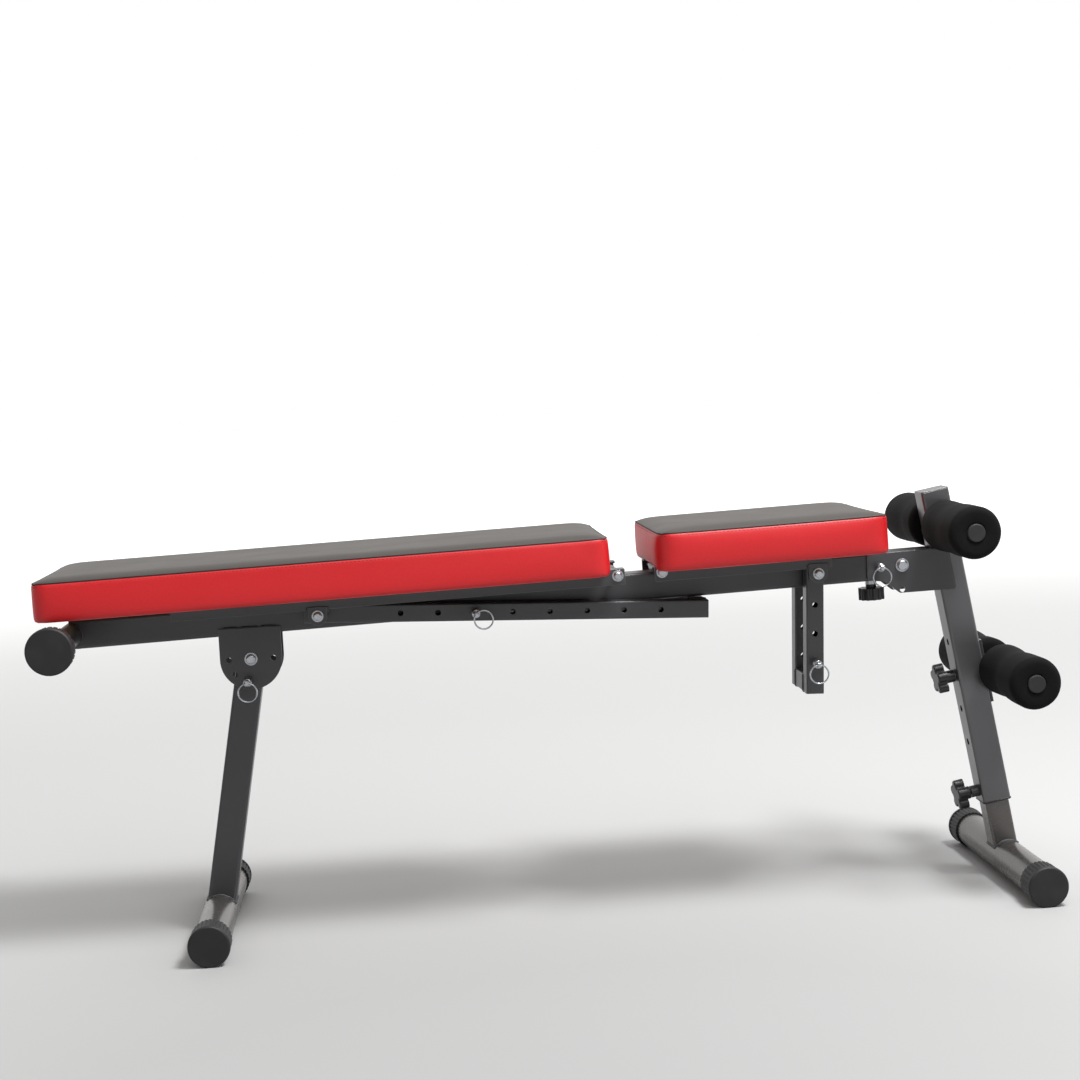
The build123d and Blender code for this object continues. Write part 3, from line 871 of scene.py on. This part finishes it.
    def build_stitches(self, line: Sequence[Vector]) -> Object:
        """Sews one run of lock stitches along a closed line.

        Args:
            line: The line's corner points.

        Returns:
            All the stitches as one piece.
        """
        builder = bmesh.new()
        walked = 0.0
        following = 0.0
        for start, end in zip(line, list(line[1:]) + [line[0]]):
            run = (end - start).length
            while following < walked + run:
                middle = start.lerp(end, (following - walked) / run)
                half = (end - start).normalized() * self.stitch / 2
                radii = (0.15 * MM, 0.42 * MM, 0.42 * MM, 0.15 * MM)
                points = [middle + half * share for share in (-1.0, -0.6, 0.6, 1.0)]
                sweep(builder, points, lambda i, radii=radii: radii[i], 6)
                following += self.stitch_gap
            walked += run
        stitches = new_mesh(self.name + "_stitches", builder)
        dress(stitches, PAINTS.get(Finish.THREAD))
        return stitches

    def build_staples(self) -> Object:
        """Drives wire staples through the folded cover into the board."""
        builder = bmesh.new()
        inset = self.lip * 0.72
        x0, x1 = self.low.x + inset, self.high.x - inset
        y0, y1 = self.low.y + inset, self.high.y - inset
        runs = [
            (Vector((x0, y0, 0)), Vector((x1, y0, 0))),
            (Vector((x0, y1, 0)), Vector((x1, y1, 0))),
            (Vector((x0, y0, 0)), Vector((x0, y1, 0))),
            (Vector((x1, y0, 0)), Vector((x1, y1, 0))),
        ]
        level = self.low.z - self.fold
        for start, end in runs:
            count = max(2, round((end - start).length / self.staple_gap))
            along = (end - start).normalized()
            for n in range(count):
                middle = start.lerp(end, (n + 0.5) / count)
                middle.z = level - 0.3 * MM
                lean = Matrix.Rotation(0.3 * noise.noise(middle * 90), 3, "Z") @ along
                half = lean * 5.5 * MM
                leg = Vector((0, 0, 2.0 * MM))
                points = [middle - half + leg, middle - half, middle, middle + half, middle + half + leg]
                sweep(builder, [self.to_frame(p) for p in points], lambda i: 0.45 * MM, 6)
        staples = new_mesh(self.name + "_staples", builder)
        dress(staples, PAINTS.get(Finish.ZINC))
        return staples

    def build(self) -> None:
        """Builds the pad's pieces and sets them on its body."""
        cover, line, stitch_line = self.build_cover()
        welt = self.build_seam(line)
        stitches = self.build_stitches(stitch_line)
        staples = self.build_staples()
        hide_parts(self.name + "_cushion")
        for piece, finish in (
            (cover, "vinyl"),
            (welt, "vinyl"),
            (stitches, "vinyl"),
            (staples, "zinc"),
        ):
            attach(piece, self.name)
            LOG.info("%s", piece.name)


# --- foam rollers ---


@dataclass
class FoamRoller:
    """One foam sleeve on a roller tube.

    Args:
        name: Its body and its solid's node.
        waist: Depth of the soft waist where the foam has been gripped.
        bore: Radius of the hole.
        edge: Radius of the rounded ends.
        steps: Divisions round the sleeve.
    """

    name: str
    waist: float
    bore: float = 12.6 * MM
    edge: float = 9 * MM
    steps: int = 96

    def profile(self, length: float, radius: float) -> list[tuple[float, float]]:
        """Half section as (place along the axis, radius) from one bore end to the other."""
        points = [(3 * MM, self.bore), (1.2 * MM, self.bore + 0.6 * MM), (0.9 * MM, self.bore + 2.5 * MM)]
        points.append((0.15 * MM, self.bore + 7 * MM))
        turns = 7
        for n in range(turns + 1):
            angle = math.pi / 2 * n / turns
            across = radius - self.edge + self.edge * math.sin(angle)
            points.append((self.edge * (1 - math.cos(angle)), across))
        middle = 22
        inner = [
            (self.edge + (length - 2 * self.edge) * n / middle, radius) for n in range(1, middle)
        ]
        mirrored = [(length - a, r) for a, r in reversed(points)]
        return points + inner + mirrored

    def build(self) -> None:
        """Builds the sleeve in place of its solid."""
        low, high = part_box(self.name)
        centre = (low + high) / 2
        radius = (high.z - low.z) / 2
        builder = bmesh.new()
        rings = []
        for along, r in self.profile(high.y - low.y, radius):
            ring = []
            for k in range(self.steps):
                turn = 2 * math.pi * k / self.steps
                place = Vector((centre.x + r * math.cos(turn), low.y + along, centre.z + r * math.sin(turn)))
                if r > self.bore + 3 * MM:
                    share = (abs(place.y) - min(abs(low.y), abs(high.y))) / (high.y - low.y)
                    grip = math.exp(-(((share - 0.42) / 0.17) ** 2)) * (0.75 + 0.25 * math.cos(2 * turn))
                    sink = abs(noise.noise(place * 28)) * 0.7 * MM + self.waist * grip
                    towards = Vector((centre.x - place.x, 0, centre.z - place.z)).normalized()
                    place += towards * sink
                ring.append(builder.verts.new(place))
            rings.append(ring)
        skin(builder, rings + rings[:1])
        bmesh.ops.recalc_face_normals(builder, faces=builder.faces)
        sleeve = new_mesh(self.name + "_sleeve", builder)
        dress(sleeve, PAINTS.get(Finish.FOAM))
        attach(sleeve, self.name)
        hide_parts(self.name)
        LOG.info("%s", sleeve.name)


# --- welds ---


@dataclass
class WeldShop:
    """Lays the weld beads where tubes and plates meet.

    Args:
        bead: Radius of a bead.
        ripple: Spacing of its ripples.
    """

    bead: float = 1.7 * MM
    ripple: float = 2.6 * MM

    def lay(self, name: str, body: str, lines: Iterable[tuple[Sequence[Vector], bool]]) -> None:
        """Lays one body's beads as one piece.

        Args:
            name: Name of the piece.
            body: Body that it rides on.
            lines: Corner points of each bead, and whether it closes on itself.
        """
        builder = bmesh.new()
        for corners, closed in lines:
            points = self.resample(corners, closed)
            sweep(builder, points, self.rippled(points), 8, closed)
        bead = new_mesh(name, builder)
        dress(bead, PAINTS.get(Finish.WELD))
        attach(bead, body)
        LOG.info("%s", name)

    def resample(self, corners: Sequence[Vector], closed: bool) -> list[Vector]:
        """Points a third of a ripple apart along a line of corners."""
        line = list(corners) + ([corners[0]] if closed else [])
        points = []
        for start, end in zip(line, line[1:]):
            count = max(1, round((end - start).length / (self.ripple / 3)))
            points += [start.lerp(end, n / count) for n in range(count)]
        return points if closed else points + [line[-1]]

    def rippled(self, points: Sequence[Vector]) -> Callable[[int], float]:
        """Radius along a bead: one swell for each puddle, and a slow wander."""

        def radius(i: int) -> float:
            """Radius at a point's number."""
            wave = 0.18 * math.cos(2 * math.pi * i / 3)
            wander = 0.2 * noise.noise(points[i] * 120)
            return self.bead * (1 + wave + wander)

        return radius


@dataclass
class Steelwork:
    """The frame's solids, dressed in their coats, with their welds.

    Args:
        tube: Side of the main square tube.
        leg_side: Side of the rear leg's tube.
        post_side: Side of the front post's outer tube.
        post_inner: Side of the front post's inner tube.
        arm: Side of the strut tubes.
        foot_r: Radius of the foot tubes.
        bar_r: Radius of the rear rest bar.
        roller_tube_r: Radius of the roller tubes.
        post_lean: Lean of the front post.
        beam_rise: Slope of the beam.
        back_strut_drop: Slope of the backrest strut.
        seat_strut_turn: Direction of the seat strut.
    """

    tube: float = 40 * MM
    leg_side: float = 39.4 * MM
    post_side: float = 40.6 * MM
    post_inner: float = 35 * MM
    arm: float = 25 * MM
    foot_r: float = 25 * MM
    bar_r: float = 16 * MM
    roller_tube_r: float = 12.5 * MM
    post_lean: float = math.radians(9.65)
    beam_rise: float = math.radians(1.53)
    back_strut_drop: float = math.radians(2.6)
    seat_strut_turn: float = math.radians(-92.0)

    def dress_nodes(self, nodes: Mapping[str, Object], slots: Mapping[str, str]) -> None:
        """Gives each solid the finish of its slot in the record."""
        finishes = {
            "frame_paint": Finish.FRAME_COAT,
            # The foot tubes' slot gets the lighter copy of the frame coat, as painted light.
            "foot_paint": Finish.FRAME_COAT_LIT_FEET,
            "vinyl": Finish.RED_VINYL,
            "plywood": Finish.PLY,
            "foam": Finish.FOAM,
            "cap_rubber": Finish.CAP_RUBBER,
            "black_plastic": Finish.KNOB_NYLON,
            "zinc": Finish.ZINC,
        }
        for name, node in nodes.items():
            finish = finishes[slots[name]]
            if name == "roller_tube_plugs":
                finish = Finish.PLUG_NYLON
            elif name in ("post_outer_tube", "post_top_plug"):
                # Painted light: the outer post tube and its plug get the lighter copy of the frame coat.
                finish = Finish.FRAME_COAT_LIT_POST
            dress(node, PAINTS.get(finish))

    def saddle(self, foot: Vector, along: Vector, side: float, radius: float) -> list[Vector]:
        """Line where a square tube sits on a round tube that runs across the bench.

        Args:
            foot: A point on the round tube's axis in the square tube's middle plane.
            along: Direction of the square tube, away from the round tube.
            side: Side of the square tube.
            radius: Radius of the round tube.

        Returns:
            The closed line's points.
        """
        across = Vector((0, 1, 0)).cross(along).normalized()
        half = side / 2
        steps = 12
        walk = [(-half, -half), (half, -half), (half, half), (-half, half), (-half, -half)]
        line = []
        for (u, v), (end_u, end_v) in zip(walk, walk[1:]):
            step_u, step_v = (end_u - u) / steps, (end_v - v) / steps
            line += [(u + step_u * n, v + step_v * n) for n in range(steps)]
        points = []
        for u, v in line:
            lift = math.sqrt(max(radius**2 - u**2, 0))
            points.append(foot + across * u + Vector((0, v, 0)) + along * lift)
        return points

    def tube_axis(self, node: str, foot: Vector) -> Vector:
        """Direction of a square tube in the XZ plane, seen from its foot."""
        verts = [v.co for v in bpy.data.objects[node].data.vertices]
        _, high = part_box(node)
        top = [v for v in verts if v.z > high.z - 30 * MM]
        head = sum(top, Vector()) / len(top)
        head.y = 0
        return (head - foot).normalized()

    def post_line(self, height: float) -> Vector:
        """Point of the front post's centre line at a height."""
        foot = centre_of("front_foot_tube")
        return Vector((foot.x - (height - foot.z) * math.tan(self.post_lean), 0, height))

    def ring(self, centre: Vector, radius: float, y: float) -> list[Vector]:
        """Circle round a cross tube at a place across the bench."""
        steps = 40
        return [
            Vector((centre.x + radius * math.cos(a), y, centre.z + radius * math.sin(a)))
            for a in (2 * math.pi * n / steps for n in range(steps))
        ]

    def butt(self, centre: Vector, side: float, turn: float, y: float) -> list[Vector]:
        """Square line where a crossbar's end meets a strut arm."""
        spin = Matrix.Rotation(-turn, 3, "Y")
        middle = centre + Vector((0, y, 0))
        return [middle + spin @ Vector((u, 0, v)) for u, v in rounded_square(side, 3 * MM)]

    def weld_frame(self, shop: WeldShop) -> None:
        """Lays the main frame's beads."""
        low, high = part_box("rear_leg_plates")
        bar = centre_of("rear_bar_tube")
        along = Vector((math.cos(self.beam_rise), 0, math.sin(self.beam_rise)))
        lines: list[tuple[Sequence[Vector], bool]] = []
        for side in (-1, 1):
            y = side * (self.tube / 2 + 1.2 * MM)
            for a, b in ((0.08, 0.30), (0.36, 0.62), (0.70, 0.93)):
                ends = [Vector((low.x + (high.x - low.x) * s, y, high.z + 0.4 * MM)) for s in (a, b)]
                lines.append((ends, False))
        lines.append((self.saddle(bar, along, self.tube, self.bar_r), True))
        shop.lay("main_frame_welds", "main_frame", lines)

    def weld_post(self, shop: WeldShop) -> None:
        """Lays the front post's beads."""
        low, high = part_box("post_plates")
        upper = centre_of("upper_roller_tube")
        lower = centre_of("lower_roller_tube")
        lines: list[tuple[Sequence[Vector], bool]] = []
        for side in (-1, 1):
            wall = side * (self.post_side / 2 + 0.3 * MM)
            heights = (low.z + 4 * MM, high.z - 3 * MM)
            ends = [self.post_line(z) + Vector((0.9 * MM, wall, 0)) for z in heights]
            lines.append((ends, False))
            lines.append((self.ring(upper, self.roller_tube_r + 0.3 * MM, wall), True))
            lines.append((self.ring(lower, self.roller_tube_r + 0.3 * MM, side * 15.3 * MM), True))
        shop.lay("front_post_welds", "front_post", lines)

    def weld_struts(self, shop: WeldShop) -> None:
        """Lays the beads of both struts, and of their lugs on the pads' rails."""
        for name, turn in (("backrest", -self.back_strut_drop), ("seat", self.seat_strut_turn)):
            bar = centre_of(name + "_strut_crossbar")
            _, arm_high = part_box(name + "_strut_crossbar")
            lines = []
            for side in (-1, 1):
                y = side * (arm_high.y - 0.5 * MM)
                lines.append((self.butt(bar, self.arm, turn, y), True))
            shop.lay(name + "_strut_welds", name + "_strut", lines)
            low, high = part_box(name + "_strut_lugs")
            tabs: list[tuple[Sequence[Vector], bool]] = []
            for side in (-1, 1):
                y = side * (high.y - 2.6 * MM)
                for x in (low.x - 0.5 * MM, high.x + 0.5 * MM):
                    tabs.append(([Vector((x, y, high.z - 9 * MM)), Vector((x, y, high.z - 1 * MM))], False))
            shop.lay(name + "_lug_welds", name, tabs)

    def weld(self, shop: WeldShop) -> None:
        """Lays the beads of every body."""
        rear = centre_of("rear_foot_tube")
        front = centre_of("front_foot_tube")
        rear_dir = self.tube_axis("rear_leg_tube", rear)
        front_dir = (self.post_line(0.4) - front).normalized()
        leg = self.saddle(rear, rear_dir, self.leg_side, self.foot_r)
        shop.lay("rear_leg_welds", "rear_leg", [(leg, True)])
        inner = self.saddle(front, front_dir, self.post_inner, self.foot_r)
        shop.lay("front_foot_welds", "front_foot", [(inner, True)])
        self.weld_frame(shop)
        self.weld_post(shop)
        self.weld_struts(shop)

    def bush_lip(self) -> None:
        """Shows the lip of the plastic bush at the lower end of the outer post tube."""
        outer_low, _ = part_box("post_outer_tube")
        down = (centre_of("front_foot_tube") - self.post_line(0.5)).normalized()
        across = Vector((0, 1, 0)).cross(down).normalized()
        end = self.post_line(outer_low.z + self.post_side / 2 * math.sin(self.post_lean))
        builder = bmesh.new()
        rings = []
        outer = self.post_side / 2 + 0.7 * MM
        inner = self.post_inner / 2 + 0.15 * MM
        for half, depth in (
            (inner, -0.5 * MM),
            (outer - 0.5 * MM, 0.05 * MM),
            (outer, 0.5 * MM),
            (outer, 1.9 * MM),
            (outer - 0.6 * MM, 2.5 * MM),
            (inner + 0.5 * MM, 2.5 * MM),
            (inner, 2.0 * MM),
        ):
            outline = rounded_square(2 * half, 4 * MM)
            rings.append(
                [builder.verts.new(end + down * depth + across * u + Vector((0, v, 0))) for u, v in outline]
            )
        skin(builder, rings + rings[:1])
        bmesh.ops.recalc_face_normals(builder, faces=builder.faces)
        lip = new_mesh("post_bush_lip", builder)
        dress(lip, PAINTS.get(Finish.KNOB_NYLON))
        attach(lip, "front_post")
        LOG.info("%s", lip.name)


def centre_of(node: str) -> Vector:
    """Middle of a node's box."""
    low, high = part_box(node)
    return (low + high) / 2


# --- floor, light and camera ---


@dataclass
class Studio:
    """White paper floor in a white room that is dim on the near side.
    The floor's colour carries painted shade, darkest near its middle in front of the bench,
    and a painted glow towards its rim.

    Args:
        centre: Middle of the floor's darkest patch of painted shade.
        reach: Radius of the whole floor.
        rings: Distances from the centre, with the floor's painted shade and painted glow there.
    """

    centre: tuple[float, float] = (0.0, -1.0)
    reach: float = 40.0
    rings: tuple[tuple[float, str, float], ...] = (
        # Painted light: darker shades near the middle and glow towards the rim stand in for the fall of the
        # light.
        (0.0, "#8e8e8e", 0.0),
        (0.7, "#989898", 0.0),
        (1.5, "#b0b0b0", 0.0),
        (2.6, "#bababa", 0.06),
        (4.2, "#c2c2c2", 0.24),
        (6.5, "#cccccc", 0.65),
        (9.0, "#e0e0e0", 0.95),
    )

    def ramp(self, tree: NodeTree, place: NodeSocket, values: list[Any]) -> Any:
        """Adds a colour ramp over the floor's rings.

        Args:
            tree: The node tree.
            place: Distance from the centre, as a share of the last ring's.
            values: One RGBA for each ring.

        Returns:
            The ramp's colour socket.
        """
        node = add_node(tree, "ValToRGB", links={"Fac": place})
        stops = node.color_ramp.elements
        last = self.rings[-1][0]
        while len(stops) < len(self.rings):
            stops.new(0.5)
        for stop, ring, value in zip(stops, self.rings, values):
            stop.position = ring[0] / last
            stop.color = value
        return node.outputs["Color"]

    def floor(self) -> None:
        """Builds the floor as a wide disc."""
        builder = bmesh.new()
        hub = builder.verts.new((0, 0, 0))
        spokes = 96
        before: list[BMVert] = []
        for radius in (1.0, 3.0, 8.0, 20.0, self.reach):
            ring = [
                builder.verts.new((radius * math.cos(a), radius * math.sin(a), 0))
                for a in (2 * math.pi * n / spokes for n in range(spokes))
            ]
            for n in range(spokes):
                after = (n + 1) % spokes
                if before:
                    builder.faces.new((before[n], ring[n], ring[after], before[after]))
                else:
                    builder.faces.new((hub, ring[n], ring[after]))
            before = ring
        paper = new_mesh("studio_floor", builder)
        material, tree, shader, place = start_material("studio_paper")
        moved = add_node(
            tree,
            "VectorMath",
            {"operation": "DISTANCE", "1": (self.centre[0], self.centre[1], 0.0)},
            {"0": place},
        )
        last = self.rings[-1][0]
        share = add_node(tree, "MapRange", {"From Max": last}, {"Value": moved.outputs["Value"]})
        # Painted shade and painted glow on the floor, by distance from its middle.
        painted_shades = [linear(shade) for _, shade, _ in self.rings]
        painted_glows = [(glow, glow, glow, 1.0) for _, _, glow in self.rings]
        shade = self.ramp(tree, share.outputs["Result"], painted_shades)
        glow = self.ramp(tree, share.outputs["Result"], painted_glows)
        fibre = add_node(tree, "TexNoise", {"Scale": per_metre(2.0), "Detail": 3.0}, {"Vector": place})
        rise = {"Strength": 0.05, "Distance": 0.2 * MM}
        bump = add_node(tree, "Bump", rise, {"Height": fibre.outputs["Fac"]})
        shader.inputs["Roughness"].default_value = 0.75
        # The painted glow makes the far floor shine white, though it is no lamp.
        shader.inputs["Emission Strength"].default_value = 1.0
        feed(tree, shader, {"Base Color": shade, "Emission Color": glow, "Normal": bump.outputs["Normal"]})
        dress(paper, material)

    def area_light(self, name: str, place: Vector, aim: Vector, size: float, power: float) -> None:
        """Hangs one square soft light.

        Args:
            name: Name of the light.
            place: Where it hangs.
            aim: What it points at.
            size: Side of the square.
            power: Power in watts.
        """
        data = bpy.data.lights.new(name, "AREA")
        data.shape = "SQUARE"
        data.size = size
        data.energy = power
        lamp = bpy.data.objects.new(name, data)
        bpy.context.scene.collection.objects.link(lamp)
        lamp.location = place
        lamp.rotation_euler = (aim - place).to_track_quat("-Z", "Y").to_euler()

    def air(self) -> None:
        """Makes the room: bright behind and above, dim on the near side."""
        world = bpy.data.worlds.new("studio_air")
        bpy.context.scene.world = world
        world.use_nodes = True
        tree = world.node_tree
        tree.nodes.clear()
        way = add_node(tree, "TexCoord").outputs["Generated"]
        facing = add_node(
            tree, "VectorMath", {"operation": "DOT_PRODUCT", "1": (0.3, 0.72, 0.63)}, {"0": way}
        )
        share = add_node(
            tree,
            "MapRange",
            {
                "interpolation_type": "SMOOTHSTEP",
                "From Min": -0.5,
                "From Max": 0.6,
                "To Min": 0.065,
            },
            {"Value": facing.outputs["Value"]},
        )
        room = add_node(
            tree, "Background", {"Color": (1.0, 0.995, 0.985, 1.0)}, {"Strength": share.outputs["Result"]}
        )
        wall = add_node(tree, "Background", {"Color": (1.0, 1.0, 1.0, 1.0), "Strength": 1.0})
        seen = add_node(tree, "LightPath").outputs["Is Camera Ray"]
        both = add_node(
            tree,
            "MixShader",
            links={"0": seen, "1": room.outputs["Background"], "2": wall.outputs["Background"]},
        )
        add_node(tree, "OutputWorld", links={"Surface": both.outputs["Shader"]})

    def light(self) -> None:
        """Lights the bench from above right, with a high soft fill in front."""
        self.air()
        target = Vector((0.0, 0.0, 0.3))
        self.area_light("overhead", Vector((1.2, -0.95, 3.2)), target, 0.9, 150.0)
        self.area_light("front_fill", Vector((0.6, -2.9, 2.9)), target, 2.2, 48.0)

    def camera(self) -> None:
        """Sets the camera in front of the bench, a little left of its middle."""
        yaw, pitch, roll = (math.radians(a) for a in (4.16, -4.754, -2.888))
        forward = Vector(
            (math.sin(yaw) * math.cos(pitch), math.cos(yaw) * math.cos(pitch), math.sin(pitch))
        )
        level = Vector((math.cos(yaw), -math.sin(yaw), 0.0))
        upright = level.cross(forward)
        right = level * math.cos(roll) + upright * math.sin(roll)
        up = upright * math.cos(roll) - level * math.sin(roll)
        data = bpy.data.cameras.new("camera")
        data.lens = 63.33
        data.sensor_width = 36.0
        data.clip_end = 60.0
        camera = bpy.data.objects.new("camera", data)
        bpy.context.scene.collection.objects.link(camera)
        turn = Matrix((right, up, -forward)).transposed().to_4x4()
        camera.matrix_world = Matrix.Translation(Vector((-0.1945, -2.6771, 0.7505))) @ turn
        bpy.context.scene.camera = camera

    def build(self) -> None:
        """Builds the whole studio."""
        self.floor()
        self.light()
        self.camera()
        bpy.context.scene.view_settings.view_transform = "Standard"


# --- all of it ---


def corners(box: tuple[Vector, Vector]) -> list[list[float]]:
    """A box as plain lists of numbers."""
    return [list(box[0]), list(box[1])]


def main() -> None:
    """Loads the frame, builds every sub-assembly and reports its pieces."""
    logging.basicConfig(level=logging.INFO, format="%(message)s")
    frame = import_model()
    slots = {part["node"]: part["material_slot"] for part in frame["record"]["subparts"]}
    steel = Steelwork()
    steel.dress_nodes(frame["nodes"], slots)
    steel.weld(WeldShop())
    steel.bush_lip()
    for pad in (Pad("backrest", 1.38), Pad("seat", 1.5)):
        pad.build()
    for level, waist in (("upper", 1.8 * MM), ("lower", 4.2 * MM)):
        for side in ("near", "far"):
            FoamRoller(f"{level}_roller_{side}", waist).build()
    Studio().build()


if __name__ == "__main__":
    main()
